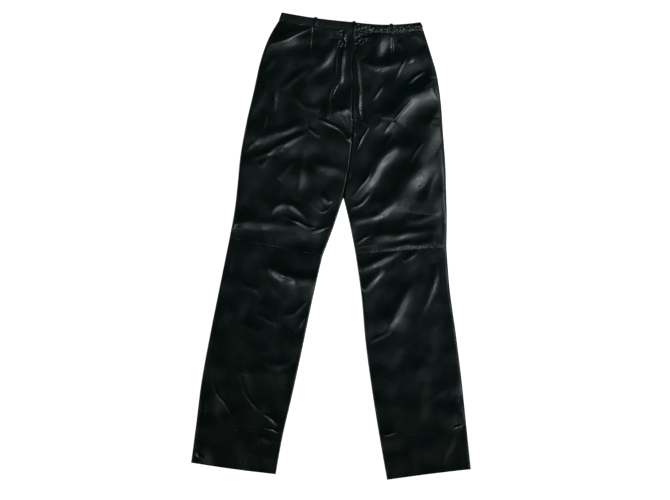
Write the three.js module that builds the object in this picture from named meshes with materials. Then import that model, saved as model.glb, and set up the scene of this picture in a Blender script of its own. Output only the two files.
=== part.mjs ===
// A pair of women's leather trousers, laid flat on their front so that the back shows.
// Millimetres, +Z up. The fronts lie on the ground plane z = 0, the backs lie on the fronts, the waist is
// towards +Y, and left and right are the wearer's, so the left leg is at -X. The origin is the middle of the
// garment's outline, on the ground.
import * as THREE from "three";

// Leather and seams
const LEATHER = 1.5; // wall of a panel
const SEAM_GAP = 0.3; // between the edges of two pieces that are sewn together
const BACK_REST = LEATHER + SEAM_GAP; // height of a back panel's inside where it lies on the front
const SIDE_ROLL = 8; // a back panel rises from the side seam to its full loft within this distance
const SEAM_ROLL = 6; // the same beside the centre seam and the inseam
const LOFT_FALL = 0.5; // the share of the loft that is lost from the middle to the side seam

// Waistband, a folded strip
const BAND_HEIGHT = 20;
const BAND_WALL = 2.4;
const BAND_HOLLOW = 1; // between its back and front layers
const BAND_LEAN = 7; // the top edge is this much shorter than the waist seam on each half
const BAND_STEPS = 12;
const BAND_FOLD_STEPS = 6;

// Belt loops, narrow straps over the waistband. The path is the middle of the strap, from its end turned down
// over the band's top edge to its sewn end on the back: up is measured from the waist seam, and stand is the
// height over what the strap passes, the band or the back.
const LOOP_WIDTH = 8;
const LOOP_WALL = 1.6;
const LOOP_COLUMNS = 3;
const LOOP_PATH = [
  { at: "turned-down end", up: 21.6, stand: -1.6 },
  { at: "top edge", up: 21.6, stand: -0.1 },
  { at: "bend", up: 21, stand: 1 },
  { at: "tacked on the band", up: 19.2, stand: 1.1 },
  { at: "rise", up: 16, stand: 1.9 },
  { at: "arch", up: 11, stand: 2.6 },
  { at: "arch", up: 5, stand: 2.6 },
  { at: "fall", up: 0.6, stand: 2.1 },
  { at: "on the back", up: -1.6, stand: 1.4 },
  { at: "tacked on the back", up: -3, stand: 1.2 },
  { at: "sewn end", up: -5, stand: 1.2 },
];
const LOOPS = [
  { name: "belt_loop_left", side: -1, along: 87 },
  { name: "belt_loop_centre", side: 1, along: 3.5 },
  { name: "belt_loop_right", side: 1, along: 91 },
];

// The closed zip behind the centre front
const ZIP_LENGTH = 150;
const ZIP_TAPE_WIDTH = 26;
const ZIP_TAPE_WALL = 0.6;
const ZIP_CHAIN_WIDTH = 5;
const ZIP_WALL = 1;
const ZIP_BELOW_WAIST = 14;

// Sections across the body, from the waist seam to where the legs part. x and y are the point on the centre
// line that both halves share, width is the flat width from there to the side seam, tilt is how many degrees
// the section rises towards the side, and bow bends it. loft is the height of the back over its rest, and
// seamDip is how much of that loft the centre line loses.
const BODY = [
  { at: "waist seam", x: 51, y: 494.5, leftWidth: 172, leftTilt: 7.5, leftBow: -2.2, rightWidth: 163.5,
    rightTilt: -0.1, rightBow: -6, loft: 2.6, seamDip: 0.15 },
  { at: "high hip", x: 51, y: 446, leftWidth: 197, leftTilt: 8.1, rightWidth: 178, rightTilt: 0.7,
    loft: 5.5, seamDip: 0.15 },
  { at: "dart end", x: 51, y: 386, leftWidth: 216, leftTilt: 9.2, rightWidth: 194, rightTilt: 2,
    loft: 7.5, seamDip: 0.15 },
  { at: "hip", x: 51, y: 317, leftWidth: 231, leftTilt: 9.2, rightWidth: 203.5, rightTilt: 3.2,
    loft: 9, seamDip: 0.2 },
  { at: "crotch", x: 50.5, y: 248, leftWidth: 246.5, leftTilt: 8.6, rightWidth: 209, rightTilt: 3.8,
    loft: 10, seamDip: 0.2 },
  { at: "top of thigh", x: 41.5, y: 174, leftWidth: 251, leftTilt: 7.9, rightWidth: 223.5, rightTilt: 4.1,
    loft: 9, seamDip: 0.4 },
  { at: "legs part", x: 29.5, y: 110, leftWidth: 245.5, leftTilt: 8.1, rightWidth: 237.5, rightTilt: 4.4,
    loft: 8, seamDip: 1 },
];

// Sections across each leg below that, with x and y on the inseam
const LEFT_LEG = [
  { at: "mid thigh", x: 7, y: 43, width: 231, tilt: 9.7, loft: 7 },
  { at: "knee seam", x: -18.5, y: -24.5, width: 218, tilt: 11.2, loft: 5.5 },
  { at: "below knee", x: -41.5, y: -125, width: 215.5, tilt: 9.2, loft: 5.5 },
  { at: "calf", x: -63, y: -228.5, width: 215, tilt: 7.9, loft: 5 },
  { at: "shin", x: -86.5, y: -337, width: 211.5, tilt: 7.4, loft: 4.5 },
  { at: "ankle", x: -110, y: -438, width: 201, tilt: 7.1, loft: 3.5 },
  { at: "hem", x: -126, y: -525.5, width: 196.5, tilt: 7.7, bow: -1.5, loft: 2.2 },
];
const RIGHT_LEG = [
  { at: "mid thigh", x: 45, y: 45.5, width: 223.5, tilt: 4.1, loft: 7 },
  { at: "knee seam", x: 57.5, y: -19, width: 210, tilt: 4.4, loft: 5.5 },
  { at: "below knee", x: 71, y: -115.5, width: 204, tilt: 4.5, loft: 5.5 },
  { at: "calf", x: 80.5, y: -221.5, width: 209, tilt: 4.4, loft: 5 },
  { at: "shin", x: 94.5, y: -327, width: 208, tilt: 4.4, loft: 4.5 },
  { at: "ankle", x: 111.5, y: -433, width: 202, tilt: 5.2, loft: 3.5 },
  { at: "hem", x: 130, y: -538.5, width: 194.5, tilt: 7.2, bow: 1, loft: 2.2 },
];
const KNEE = 1; // index of the knee seam in each leg's table

// The largest folds of the backs, each along a bent line through three points, the middle of its longer flank.
// That flank looks towards one of the two sides in FACED, whichever the line crosses more squarely. facing is
// half of that flank's width, away is the reach of the other flank, and height is that of the crest.
const FACED = [new THREE.Vector2(0.8, -0.6), new THREE.Vector2(-0.6, -0.8)];
const FOLDS = [
  { name: "hip band left", from: [-180, 445], via: [-95, 465], to: [0, 460],
    facing: 12.5, away: 15, height: 3.5 },
  { name: "seat ridge left", from: [15, 475], via: [-5, 425], to: [-70, 375],
    facing: 8, away: 12.5, height: 2.5 },
  { name: "foot of the dart right", from: [70, 425], via: [110, 405], to: [165, 420],
    facing: 8.5, away: 15.5, height: 4 },
  { name: "dart side right", from: [110, 495], via: [120, 460], to: [105, 420],
    facing: 10, away: 14, height: 3 },
  { name: "hip sheet right", from: [155, 280], via: [185, 320], to: [245, 345],
    facing: 23, away: 20.5, height: 9 },
  { name: "thigh band upper left", from: [-175, 235], via: [-115, 255], to: [-50, 275],
    facing: 8.5, away: 13, height: 4 },
  { name: "thigh band lower left", from: [-175, 195], via: [-115, 225], to: [-50, 260],
    facing: 6, away: 7, height: 3.5 },
  { name: "thigh side line left", from: [-55, 225], via: [-65, 165], to: [-70, 105],
    facing: 9.5, away: 14.5, height: 2 },
  { name: "inner thigh patch left", from: [-40, 180], via: [5, 170], to: [35, 150],
    facing: 9.5, away: 11.5, height: 3.5 },
  { name: "knee arch left", from: [-140, 60], via: [-100, 90], to: [-40, 40],
    facing: 6.5, away: 10.5, height: 2.5 },
  { name: "knee band left", from: [-250, 45], via: [-160, 45], to: [-60, 40],
    facing: 9, away: 14.5, height: 3.5 },
  { name: "inner thigh band right", from: [160, 235], via: [115, 180], to: [65, 100],
    facing: 11.5, away: 14, height: 4 },
  { name: "lower band right", from: [45, 60], via: [95, 60], to: [155, 95],
    facing: 7.5, away: 10.5, height: 2.5 },
  { name: "large thigh band right", from: [110, 75], via: [190, 135], to: [245, 280],
    facing: 20.5, away: 25, height: 5.5 },
  { name: "side band right", from: [165, 55], via: [205, 55], to: [255, 75],
    facing: 6.5, away: 9, height: 1.5 },
  { name: "above knee right", from: [100, 15], via: [160, 20], to: [255, 35],
    facing: 7, away: 9.5, height: 2 },
  { name: "knee seam right", from: [110, -15], via: [160, -5], to: [240, 0],
    facing: 5.5, away: 9, height: 3 },
  { name: "below knee right", from: [70, -60], via: [115, -40], to: [165, -15],
    facing: 8, away: 11, height: 4 },
  { name: "shin side right", from: [245, -40], via: [240, -95], to: [205, -170],
    facing: 6.5, away: 9.5, height: 2 },
  { name: "shin bend right", from: [185, -95], via: [160, -150], to: [130, -205],
    facing: 8.5, away: 12.5, height: 2 },
  { name: "below knee left", from: [-150, -50], via: [-95, -80], to: [-25, -85],
    facing: 10.5, away: 14, height: 4.5 },
  { name: "calf bend left", from: [-165, -35], via: [-145, -85], to: [-105, -135],
    facing: 7.5, away: 10.5, height: 1 },
  { name: "shin band left", from: [-160, -260], via: [-120, -280], to: [-75, -255],
    facing: 7, away: 10.5, height: 1.5 },
];
const CREST_FROM_LINE = 0.8; // from the line to the crest, as a share of facing
const FLANK_REACH = 1.25; // of the longer flank below the crest, as a share of facing
const END_TAPER = 0.6; // how soon a fold rises from its ends: 1 is a half wave, and less is sooner
const FOLD_SEGMENTS = 12;

// Middle of the finished garment's outline, in the coordinates of the tables above
const MIDDLE = { x: 1.1, y: -0.65 };

// Grid of a panel: the fronts are flat, so they need few columns
const BACK_COLUMNS = { upper: 22, lower: 18 };
const EDGE_SHARES = [0, 0.007, 0.018, 0.036]; // places of a back panel's columns at each edge
const FRONT_COLUMNS = { upper: 12, lower: 2 };
const STEPS_PER_SECTION = 5;
const STEEPEST = 3; // the most that a sloping wall is lengthened, measured straight down

const ABOVE_ALL = 100; // a height over every piece

const BLACK_LEATHER = { color: 0x0b1211, roughness: 0.38, metalness: 0 };
const BLACK_TAPE = { color: 0x0c0c0d, roughness: 0.8, metalness: 0 };

// A point across a section: share 0 is the inner edge and 1 is the side seam; side is -1 for the left half
function acrossSection(inner, side, width, tilt, bow, share) {
  const angle = THREE.MathUtils.degToRad(tilt);
  const sag = (bow ?? 0) * Math.sin(Math.PI * share);
  return new THREE.Vector2(
    inner.x + side * (width * share * Math.cos(angle) + sag * Math.sin(angle)),
    inner.y + width * share * Math.sin(angle) + sag * Math.cos(angle),
  );
}

// The sections of one half from the waist seam to the hem, all with the same named sizes
function sectionsOf(side) {
  const name = side < 0 ? "left" : "right";
  const seat = BODY.map((row) => ({
    x: row.x + (side * SEAM_GAP) / 2,
    y: row.y,
    width: row[name + "Width"] - SEAM_GAP / 2,
    tilt: row[name + "Tilt"],
    bow: row[name + "Bow"] ?? 0,
    loft: row.loft,
    seamDip: row.seamDip,
  }));
  const leg = (side < 0 ? LEFT_LEG : RIGHT_LEG).map((row) => ({ bow: 0, seamDip: 1, ...row }));
  return { seat, leg };
}

// A smooth run of one named size through the rows of a table, read at any place between them
function runThrough(rows, key) {
  const curve = new THREE.SplineCurve(rows.map((row, i) => new THREE.Vector2(i, row[key])));
  return (place) => curve.getPoint(place / (rows.length - 1)).y;
}

// The same for the points of an edge; the rows in each list meet at a corner
function edgeThrough(...lists) {
  const curves = lists.map((points) => new THREE.SplineCurve(points));
  const starts = [0];
  for (const points of lists) starts.push(starts.at(-1) + points.length - 1);
  return (place) => {
    const i = place < starts[1] || curves.length === 1 ? 0 : 1;
    return curves[i].getPoint((place - starts[i]) / (starts[i + 1] - starts[i]));
  };
}

const foldLines = FOLDS.map((fold) => {
  const [a, b, c] = [fold.from, fold.via, fold.to].map(([x, y]) => new THREE.Vector2(x, y));
  const control = b.clone().multiplyScalar(2).addScaledVector(a, -0.5).addScaledVector(c, -0.5);
  const [first, second] = FACED.map((side) => c.clone().sub(a).cross(side));
  const facingSide = Math.sign(Math.abs(first) > Math.abs(second) ? first : second);
  const points = new THREE.QuadraticBezierCurve(a, control, c).getPoints(FOLD_SEGMENTS);
  return { ...fold, facingSide, points };
});

// Height that all the folds add at a point, each falling away from its crest and towards its two ends
function foldHeight(point) {
  let height = 0;
  for (const fold of foldLines) {
    let nearest = Infinity;
    let along = 0;
    let side = 1;
    for (let i = 0; i < FOLD_SEGMENTS; i++) {
      const start = fold.points[i];
      const run = fold.points[i + 1].clone().sub(start);
      const offset = point.clone().sub(start);
      const share = THREE.MathUtils.clamp(offset.dot(run) / run.lengthSq(), 0, 1);
      const distance = start.clone().addScaledVector(run, share).distanceTo(point);
      if (distance < nearest) {
        nearest = distance;
        along = (i + share) / FOLD_SEGMENTS;
        side = Math.sign(run.cross(offset));
      }
    }
    const fromCrest = nearest * side * fold.facingSide + CREST_FROM_LINE * fold.facing;
    const reach = fromCrest > 0 ? FLANK_REACH * fold.facing : fold.away;
    const taper = Math.max(0, Math.sin(Math.PI * along)) ** END_TAPER;
    height += fold.height * taper * Math.exp(-((fromCrest / reach) ** 2));
  }
  return height;
}

// From 0 at an edge to 1 at a radius from it, as a quarter of a circle
function rounded(distance, radius) {
  const share = Math.min(1, distance / radius);
  return Math.sqrt(share * (2 - share));
}

// Height of a back panel's outside over the ground, from its distances to the side seam and the inner edge
function backHeight({ point, toSide, toInner, loft, seamDip }) {
  const roll = rounded(toSide, SIDE_ROLL);
  const dip = 1 - seamDip * (1 - rounded(toInner, SEAM_ROLL));
  const middleLoft = loft * (1 - (LOFT_FALL * toInner) / (toInner + toSide));
  return BACK_REST + LEATHER + roll * dip * Math.max(0, middleLoft + foldHeight(point));
}

// Shares across a back panel: a few close to each edge, where the leather rolls over, and the rest even
function sharesAcross(columns) {
  const last = EDGE_SHARES.at(-1);
  const count = columns - 2 * (EDGE_SHARES.length - 1);
  const middle = Array.from({ length: count - 1 }, (_, i) => last + ((1 - 2 * last) * (i + 1)) / count);
  return [...EDGE_SHARES, ...middle, ...EDGE_SHARES.map((share) => 1 - share).reverse()];
}

function evenShares(columns) {
  return Array.from({ length: columns + 1 }, (_, i) => i / columns);
}

// A closed wall between two grids of points with the same rows and columns
function wallGeometry(outer, inner) {
  const rows = outer.length;
  const columns = outer[0].length;
  const positions = [...outer.flat(), ...inner.flat()].flatMap((p) => [p.x, p.y, p.z]);
  const at = (layer, row, column) => (layer * rows + row) * columns + column;
  const faces = [];
  const fall = (a, b) => Math.abs(positions[3 * a + 2] - positions[3 * b + 2]);
  // each four-sided cell is split along its flatter diagonal, so that a slanting fold keeps an even crest
  const quad = (a, b, c, d) =>
    faces.push(...(fall(a, c) <= fall(b, d) ? [a, b, c, a, c, d] : [a, b, d, b, c, d]));
  for (let r = 0; r < rows - 1; r++) {
    for (let c = 0; c < columns - 1; c++) {
      quad(at(0, r, c), at(0, r + 1, c), at(0, r + 1, c + 1), at(0, r, c + 1));
      quad(at(1, r, c), at(1, r, c + 1), at(1, r + 1, c + 1), at(1, r + 1, c));
    }
    quad(at(0, r, 0), at(1, r, 0), at(1, r + 1, 0), at(0, r + 1, 0));
    quad(at(0, r, columns - 1), at(0, r + 1, columns - 1), at(1, r + 1, columns - 1), at(1, r, columns - 1));
  }
  for (let c = 0; c < columns - 1; c++) {
    quad(at(0, 0, c), at(0, 0, c + 1), at(1, 0, c + 1), at(1, 0, c));
    quad(at(0, rows - 1, c), at(1, rows - 1, c), at(1, rows - 1, c + 1), at(0, rows - 1, c + 1));
  }
  const geometry = new THREE.BufferGeometry();
  geometry.setAttribute("position", new THREE.Float32BufferAttribute(positions, 3));
  geometry.setIndex(enclosedVolume(positions, faces) < 0 ? faces.reverse() : faces);
  geometry.computeVertexNormals();
  return geometry;
}

// Volume inside a set of triangles, negative where they face inwards
function enclosedVolume(positions, faces) {
  const corner = (i) => new THREE.Vector3().fromArray(positions, 3 * i);
  let volume = 0;
  for (let i = 0; i < faces.length; i += 3) {
    volume += corner(faces[i]).dot(corner(faces[i + 1]).cross(corner(faces[i + 2]))) / 6;
  }
  return volume;
}

// One over the upward part of the surface's normal at a grid point: how much longer a wall is, measured
// straight down, than its own thickness
function steepness(grid, row, column) {
  const rowOf = (r) => grid[THREE.MathUtils.clamp(r, 0, grid.length - 1)];
  const columnOf = (line, c) => line[THREE.MathUtils.clamp(c, 0, line.length - 1)];
  const down = columnOf(rowOf(row + 1), column).clone().sub(columnOf(rowOf(row - 1), column));
  const across = columnOf(grid[row], column + 1).clone().sub(columnOf(grid[row], column - 1));
  const normal = down.cross(across).normalize();
  return Math.min(STEEPEST, 1 / Math.abs(normal.z));
}

function leatherMesh(name, geometry) {
  const mesh = new THREE.Mesh(geometry, new THREE.MeshStandardMaterial(BLACK_LEATHER));
  mesh.name = name;
  return mesh;
}

// The plan of one panel between two places of its half: its edges and the sizes that run down it
function panelPlan(side, part) {
  const { seat, leg } = sectionsOf(side);
  const rows = part === "upper" ? [...seat, ...leg.slice(0, KNEE + 1)] : leg.slice(KNEE);
  const innerPoint = (row) => new THREE.Vector2(row.x, row.y);
  const outerPoint = (row) => acrossSection(row, side, row.width, row.tilt, 0, 1);
  const corner = seat.length - 1;
  const innerLists =
    part === "upper" ? [rows.slice(0, corner + 1), rows.slice(corner)] : [rows];
  return {
    steps: (rows.length - 1) * STEPS_PER_SECTION,
    inner: edgeThrough(...innerLists.map((list) => list.map(innerPoint))),
    outer: edgeThrough(rows.map(outerPoint)),
    bow: runThrough(rows, "bow"),
    loft: runThrough(rows, "loft"),
    seamDip: runThrough(rows, "seamDip"),
  };
}

// Points of a panel in the plan, with what its height needs; the lower panels start a seam gap further down
function planGrid(side, part, shares) {
  const plan = panelPlan(side, part);
  return Array.from({ length: plan.steps + 1 }, (_, step) => {
    const place = step / STEPS_PER_SECTION;
    const inner = plan.inner(place);
    const outer = plan.outer(place);
    if (part === "lower" && step === 0) {
      inner.y -= SEAM_GAP;
      outer.y -= SEAM_GAP;
    }
    const width = inner.distanceTo(outer);
    return shares.map((share) => {
      const point = inner.clone().lerp(outer, share);
      point.y += plan.bow(place) * Math.sin(Math.PI * share);
      const sizes = { loft: plan.loft(place), seamDip: plan.seamDip(place) };
      return { point, toSide: (1 - share) * width, toInner: share * width, ...sizes };
    });
  });
}

// A back panel: a wall of leather that rolls over at its edges and carries the folds
function backPanel(side, part) {
  const shares = sharesAcross(BACK_COLUMNS[part]);
  const outer = planGrid(side, part, shares).map((line) =>
    line.map((place) => new THREE.Vector3(place.point.x, place.point.y, backHeight(place))),
  );
  const inner = outer.map((line, r) =>
    line.map((p, c) =>
      new THREE.Vector3(p.x, p.y, Math.max(BACK_REST, p.z - LEATHER * steepness(outer, r, c))),
    ),
  );
  return wallGeometry(outer, inner);
}

// A front panel: the same outline, flat on the ground
function frontPanel(side, part) {
  const shares = evenShares(FRONT_COLUMNS[part]);
  const layer = (z) =>
    planGrid(side, part, shares).map((line) =>
      line.map(({ point }) => new THREE.Vector3(point.x, point.y, z)),
    );
  return wallGeometry(layer(LEATHER), layer(0));
}

// A point of the waistband in the plan: along from the middle towards the side, up from the waist seam
function bandPoint(side, along, up, z) {
  const { seat } = sectionsOf(side);
  const waist = seat[0];
  const share = along / waist.width;
  const lean = (-side * BAND_LEAN * share * share * up) / BAND_HEIGHT;
  const seam = acrossSection(waist, side, waist.width, waist.tilt, waist.bow, share);
  return new THREE.Vector3(seam.x + lean, seam.y + SEAM_GAP + up, z);
}

// One half of the waistband: from the centre back out to the side, round the fold, and back underneath to
// the centre front
function waistband(side) {
  const width = sectionsOf(side).seat[0].width;
  const radius = (2 * BAND_WALL + BAND_HOLLOW) / 2;
  const outer = [];
  const inner = [];
  const station = (along, outerZ, innerZ, innerAlong = along) => {
    outer.push([bandPoint(side, along, 0, outerZ), bandPoint(side, along, BAND_HEIGHT, outerZ)]);
    inner.push([bandPoint(side, innerAlong, 0, innerZ), bandPoint(side, innerAlong, BAND_HEIGHT, innerZ)]);
  };
  const reach = width - radius;
  for (let i = 0; i < BAND_STEPS; i++) station((reach * i) / BAND_STEPS, 2 * radius, 2 * radius - BAND_WALL);
  for (let i = 0; i <= BAND_FOLD_STEPS; i++) {
    const angle = Math.PI * (0.5 - i / BAND_FOLD_STEPS);
    const hollow = radius - BAND_WALL;
    station(
      reach + radius * Math.cos(angle),
      radius * (1 + Math.sin(angle)),
      radius + hollow * Math.sin(angle),
      reach + hollow * Math.cos(angle),
    );
  }
  for (let i = BAND_STEPS - 1; i >= 0; i--) station((reach * i) / BAND_STEPS, 0, BAND_WALL);
  return wallGeometry(outer, inner);
}

// Height of the top surface of some meshes at a point of the plan
function heightOn(meshes, x, y) {
  const ray = new THREE.Raycaster(new THREE.Vector3(x, y, ABOVE_ALL), new THREE.Vector3(0, 0, -1));
  return Math.max(...ray.intersectObjects(meshes, false).map((hit) => hit.point.z));
}

// A belt loop: a strap of even thickness along its path; along is its place on the band, measured from the
// centre back
function beltLoop({ side, along }, backs) {
  const bandTop = 2 * BAND_WALL + BAND_HOLLOW;
  const strapLine = (column) => {
    const place = along + side * (column / LOOP_COLUMNS - 0.5) * LOOP_WIDTH;
    const path = LOOP_PATH.map(({ up, stand }) => {
      const { x, y } = bandPoint(side, place, up, 0);
      return new THREE.Vector2(up, stand + (up > 0 ? bandTop : heightOn(backs, x, y)));
    });
    return path.map((point, i) => {
      const run = path[Math.max(0, i - 1)].clone().sub(path[Math.min(path.length - 1, i + 1)]).normalize();
      const face = (offset) => bandPoint(side, place, point.x - run.y * offset, point.y + run.x * offset);
      return [face(LOOP_WALL / 2), face(-LOOP_WALL / 2)];
    });
  };
  const lines = Array.from({ length: LOOP_COLUMNS + 1 }, (_, column) => strapLine(column));
  const layer = (i) => LOOP_PATH.map((_, row) => lines.map((line) => line[row][i]));
  return wallGeometry(layer(0), layer(1));
}

// The zip: a tape with its closed row of teeth along the middle, lying on the inside of the fronts
function flyZip() {
  const half = ZIP_TAPE_WIDTH / 2;
  const chain = ZIP_CHAIN_WIDTH / 2;
  const section = new THREE.Shape([
    new THREE.Vector2(-half, 0),
    new THREE.Vector2(half, 0),
    new THREE.Vector2(half, ZIP_TAPE_WALL),
    new THREE.Vector2(chain, ZIP_TAPE_WALL),
    new THREE.Vector2(chain, ZIP_WALL),
    new THREE.Vector2(-chain, ZIP_WALL),
    new THREE.Vector2(-chain, ZIP_TAPE_WALL),
    new THREE.Vector2(-half, ZIP_TAPE_WALL),
  ]);
  return new THREE.ExtrudeGeometry(section, { depth: ZIP_LENGTH, bevelEnabled: false });
}

const trousers = new THREE.Group();
const upperBacks = [];

for (const [name, side] of [["left", -1], ["right", 1]]) {
  const upperBack = leatherMesh(`back_upper_${name}`, backPanel(side, "upper"));
  upperBacks.push(upperBack);
  trousers.add(
    upperBack,
    leatherMesh(`back_lower_${name}`, backPanel(side, "lower")),
    leatherMesh(`front_upper_${name}`, frontPanel(side, "upper")),
    leatherMesh(`front_lower_${name}`, frontPanel(side, "lower")),
    leatherMesh(`waistband_${name}`, waistband(side)),
  );
}

for (const loop of LOOPS) trousers.add(leatherMesh(loop.name, beltLoop(loop, upperBacks)));

const zip = new THREE.Mesh(flyZip(), new THREE.MeshStandardMaterial(BLACK_TAPE));
zip.name = "fly_zip";
zip.rotation.x = Math.PI / 2;
zip.position.set(BODY[0].x, BODY[0].y - ZIP_BELOW_WAIST, BACK_REST);
trousers.add(zip);

trousers.position.set(-MIDDLE.x, -MIDDLE.y, 0);

export default trousers;
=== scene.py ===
# A pair of women's leather trousers laid flat with the back up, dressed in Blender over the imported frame.
# The tables hold millimetres in the drawing of the part's source, but for the paths of the creases, and left
# and right are the wearer's.
import math

import bpy
import numpy as np
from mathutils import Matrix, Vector
from mathutils.bvhtree import BVHTree


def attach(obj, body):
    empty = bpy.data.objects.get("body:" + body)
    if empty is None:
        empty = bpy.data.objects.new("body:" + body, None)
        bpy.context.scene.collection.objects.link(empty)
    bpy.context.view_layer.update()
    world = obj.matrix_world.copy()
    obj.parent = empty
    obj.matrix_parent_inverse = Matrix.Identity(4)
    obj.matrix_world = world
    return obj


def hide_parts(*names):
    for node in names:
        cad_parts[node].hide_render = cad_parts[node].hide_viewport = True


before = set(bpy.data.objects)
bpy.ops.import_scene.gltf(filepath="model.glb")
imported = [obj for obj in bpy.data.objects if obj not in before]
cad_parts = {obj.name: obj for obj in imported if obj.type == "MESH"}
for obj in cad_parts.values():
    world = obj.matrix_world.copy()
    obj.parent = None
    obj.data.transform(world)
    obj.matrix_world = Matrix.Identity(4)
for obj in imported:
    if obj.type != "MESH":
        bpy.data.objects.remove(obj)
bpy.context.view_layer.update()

MM = 0.001
MIDDLE = (1.1, -0.65)  # the middle of the garment's outline, in the drawing

# Leather and seams, as in the part's source but for a tighter roll beside the centre seam and the inseam
LEATHER = 1.5
SEAM_GAP = 0.3
BACK_REST = LEATHER + SEAM_GAP
SIDE_ROLL = 8
SEAM_ROLL = 3
LOFT_FALL = 0.5  # the share of the loft that is lost from the middle to the side
SHELL = 1.3  # thickness of the fine leather
CLEAR = 0.05  # of the fine leather over the sheet under it
JOIN = SEAM_GAP / 2  # each edge of the fine leather reaches out this far, so that the seams are closed
LIP = 1.2  # radius of the rounded edge at each seam

# Waistband
BAND_HEIGHT = 20
BAND_WALL = 2.4
BAND_HOLLOW = 1
BAND_LEAN = 7
BAND_TOP = 2 * BAND_WALL + BAND_HOLLOW

# Belt loops
LOOP_WIDTH = 8
LOOP_WALL = 1.6
LOOP_PATH = (  # up from the waist seam, and height over the band, or over the back below it
    (21.6, -1.6),
    (21.6, -0.1),
    (21, 1),
    (19.2, 1.1),
    (16, 1.9),
    (11, 2.6),
    (5, 2.6),
    (0.6, 2.1),
    (-1.6, 1.4),
    (-3, 1.2),
    (-5, 1.2),
)
LOOPS = {"left": (-1, 87), "centre": (1, 3.5), "right": (1, 91)}  # half, and place along the band

# Zip
ZIP_TOP = 14  # below the waist seam
ZIP_LENGTH = 150
ZIP_TAPE_WIDTH = 26
ZIP_TAPE_WALL = 0.6
ZIP_CHAIN_WIDTH = 5
ZIP_TOOTH_STEP = 1.4

# Mesh steps
FINE = 1.3
COARSE = 5.0
BAND_STEP = 1.1
INSIDE_EVERY = 3  # the inside of a fine sheet has one point for about this many outside
LIP_STEPS = (0, 0.12, 0.4, 0.8, 1.2)


def table(columns, *rows):
    """A dictionary of one array for each named column."""
    return {name: np.array([row[i] for row in rows], float) for i, name in enumerate(columns.split())}


# Sections of the body: the point that both halves share, each half's flat width, tilt and bow, the loft of
# the back over its rest, and the share of the loft that the centre line loses
BODY = table(
    "x y left_width left_tilt left_bow right_width right_tilt right_bow loft dip",
    (51, 494.5, 172, 7.5, -2.2, 163.5, -0.1, -6, 2.6, 0.15),
    (51, 446, 197, 8.1, 0, 178, 0.7, 0, 5.5, 0.15),
    (51, 386, 216, 9.2, 0, 194, 2, 0, 7.5, 0.15),
    (51, 317, 231, 9.2, 0, 203.5, 3.2, 0, 9, 0.2),
    (50.5, 248, 246.5, 8.6, 0, 209, 3.8, 0, 10, 0.2),
    (41.5, 174, 251, 7.9, 0, 223.5, 4.1, 0, 9, 0.4),
    (29.5, 110, 245.5, 8.1, 0, 237.5, 4.4, 0, 8, 1),
)
LEFT_LEG = table(
    "x y width tilt bow loft dip",
    (7, 43, 231, 9.7, 0, 7, 1),
    (-18.5, -24.5, 218, 11.2, 0, 5.5, 1),
    (-41.5, -125, 215.5, 9.2, 0, 5.5, 1),
    (-63, -228.5, 215, 7.9, 0, 5, 1),
    (-86.5, -337, 211.5, 7.4, 0, 4.5, 1),
    (-110, -438, 201, 7.1, 0, 3.5, 1),
    (-126, -525.5, 196.5, 7.7, -1.5, 2.2, 1),
)
RIGHT_LEG = table(
    "x y width tilt bow loft dip",
    (45, 45.5, 223.5, 4.1, 0, 7, 1),
    (57.5, -19, 210, 4.4, 0, 5.5, 1),
    (71, -115.5, 204, 4.5, 0, 5.5, 1),
    (80.5, -221.5, 209, 4.4, 0, 5, 1),
    (94.5, -327, 208, 4.4, 0, 4.5, 1),
    (111.5, -433, 202, 5.2, 0, 3.5, 1),
    (130, -538.5, 194.5, 7.2, 1, 2.2, 1),
)
KNEE = 1  # the row of the knee seam in each leg's table

# Folds and creases. Each has a flank that faces one of the two sides below, whichever its path crosses more
# squarely, and the path is the middle of that flank. facing is half that flank's width, away is the reach of
# the other flank, and height is that of the crest.
FACED = np.array(((0.8, -0.6), (-0.6, -0.8)))
FOLDS = table(  # the largest, as in the solids: three points of a bent line
    "x0 y0 x1 y1 x2 y2 facing away height",
    (-180, 445, -95, 465, 0, 460, 12.5, 15, 3.5),  # hip band left
    (15, 475, -5, 425, -70, 375, 8, 12.5, 2.5),  # seat ridge left
    (70, 425, 110, 405, 165, 420, 8.5, 15.5, 4),  # foot of the dart right
    (110, 495, 120, 460, 105, 420, 10, 14, 3),  # dart side right
    (155, 280, 185, 320, 245, 345, 23, 20.5, 9),  # hip sheet right
    (-175, 235, -115, 255, -50, 275, 8.5, 13, 4),  # thigh band upper left
    (-175, 195, -115, 225, -50, 260, 6, 7, 3.5),  # thigh band lower left
    (-55, 225, -65, 165, -70, 105, 9.5, 14.5, 2),  # thigh side line left
    (-40, 180, 5, 170, 35, 150, 9.5, 11.5, 3.5),  # inner thigh patch left
    (-140, 60, -100, 90, -40, 40, 6.5, 10.5, 2.5),  # knee arch left
    (-250, 45, -160, 45, -60, 40, 9, 14.5, 3.5),  # knee band left
    (160, 235, 115, 180, 65, 100, 11.5, 14, 4),  # inner thigh band right
    (45, 60, 95, 60, 155, 95, 7.5, 10.5, 2.5),  # lower band right
    (110, 75, 190, 135, 245, 280, 20.5, 25, 5.5),  # large thigh band right
    (165, 55, 205, 55, 255, 75, 6.5, 9, 1.5),  # side band right
    (100, 15, 160, 20, 255, 35, 7, 9.5, 2),  # above knee right
    (110, -15, 160, -5, 240, 0, 5.5, 9, 3),  # knee seam right
    (70, -60, 115, -40, 165, -15, 8, 11, 4),  # below knee right
    (245, -40, 240, -95, 205, -170, 6.5, 9.5, 2),  # shin side right
    (185, -95, 160, -150, 130, -205, 8.5, 12.5, 2),  # shin bend right
    (-150, -50, -95, -80, -25, -85, 10.5, 14, 4.5),  # below knee left
    (-165, -35, -145, -85, -105, -135, 7.5, 10.5, 1),  # calf bend left
    (-160, -260, -120, -280, -75, -255, 7, 10.5, 1.5),  # shin band left
)

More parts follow.
